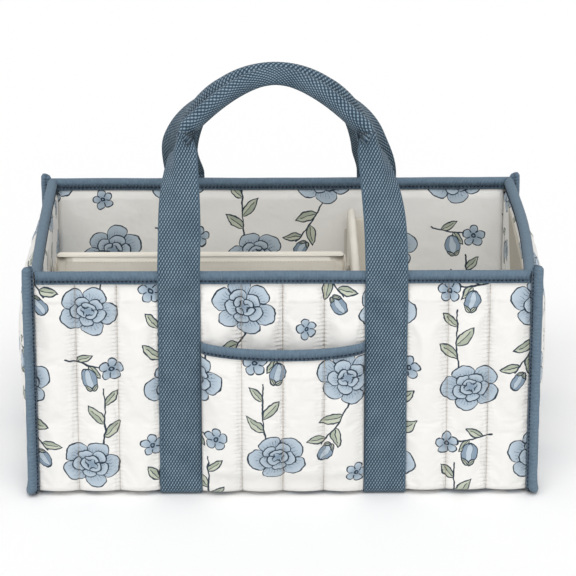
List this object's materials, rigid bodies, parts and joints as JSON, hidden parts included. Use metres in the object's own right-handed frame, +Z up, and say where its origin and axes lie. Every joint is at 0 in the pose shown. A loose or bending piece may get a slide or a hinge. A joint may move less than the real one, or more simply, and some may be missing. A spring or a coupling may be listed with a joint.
{
  "type": "quilted diaper caddy",
  "caption": "Open rectangular quilted fabric caddy with stiffened walls, bound rims and corners, a scooped front pocket, folded webbing handles and removable padded dividers.",
  "frame": {"origin": "middle of the footprint, on the surface the caddy stands on", "axes": "+X to the right along the long front, +Y from the front with the pocket to the back, +Z up"},
  "size_m": [0.41, 0.2466, 0.322],
  "materials": {
    "quilted_cloth": "matte quilted cotton-polyester with a blue floral print",
    "lining_cloth": "matte printed lining cloth",
    "bias_tape": "ribbed grey-blue bias tape",
    "webbing": "woven slate-blue webbing",
    "stiffener": "plain stiffener board and foam",
    "divider_cloth": "plain cream cloth",
    "fastening_tape": "hook and loop tape"
  },
  "bodies": {
    "shell": {"front_panel": "quilted_cloth", "back_panel": "quilted_cloth", "base_panel": "quilted_cloth", "left_panel": "quilted_cloth", "right_panel": "quilted_cloth", "front_pocket": "quilted_cloth", "front_board": "stiffener", "back_board": "stiffener", "left_board": "stiffener", "right_board": "stiffener", "base_board": "stiffener", "front_lining": "lining_cloth", "back_lining": "lining_cloth", "left_lining": "lining_cloth", "right_lining": "lining_cloth", "base_lining": "lining_cloth", "front_rim_tape": "bias_tape", "back_rim_tape": "bias_tape", "left_rim_tape": "bias_tape", "right_rim_tape": "bias_tape", "pocket_tape": "bias_tape", "left_corner_binding": "bias_tape", "right_corner_binding": "bias_tape", "left_strap": "webbing", "right_strap": "webbing", "front_loop_tape": "fastening_tape", "back_loop_tape": "fastening_tape", "left_loop_tape": "fastening_tape"},
    "front_handle": {"front_handle": "webbing"},
    "back_handle": {"back_handle": "webbing"},
    "cross_divider": {"cross_divider_sleeve": "divider_cloth", "cross_divider_core": "stiffener", "cross_divider_front_flap": "divider_cloth", "cross_divider_back_flap": "divider_cloth", "cross_divider_front_hook_tape": "fastening_tape", "cross_divider_back_hook_tape": "fastening_tape", "cross_divider_loop_tape": "fastening_tape"},
    "long_divider": {"long_divider_sleeve": "divider_cloth", "long_divider_core": "stiffener", "long_divider_left_flap": "divider_cloth", "long_divider_right_flap": "divider_cloth", "long_divider_left_hook_tape": "fastening_tape", "long_divider_right_hook_tape": "fastening_tape"}
  },
  "joints": [
    {"name": "front_handle_swing", "type": "hinge", "parent": "shell", "child": "front_handle", "pos_m": [0, -0.10814, 0.1836], "axis": [1, 0, 0], "range_deg": [0, 185]},
    {"name": "back_handle_swing", "type": "hinge", "parent": "shell", "child": "back_handle", "pos_m": [0, 0.11806, 0.1836], "axis": [-1, 0, 0], "range_deg": [0, 196]},
    {"name": "cross_divider_lift", "type": "slide", "parent": "shell", "child": "cross_divider", "axis": [0, 0, 1], "range_m": [0, 0.04]},
    {"name": "long_divider_lift", "type": "slide", "parent": "shell", "child": "long_divider", "axis": [0, 0, 1], "range_m": [0, 0.2]}
  ]
}
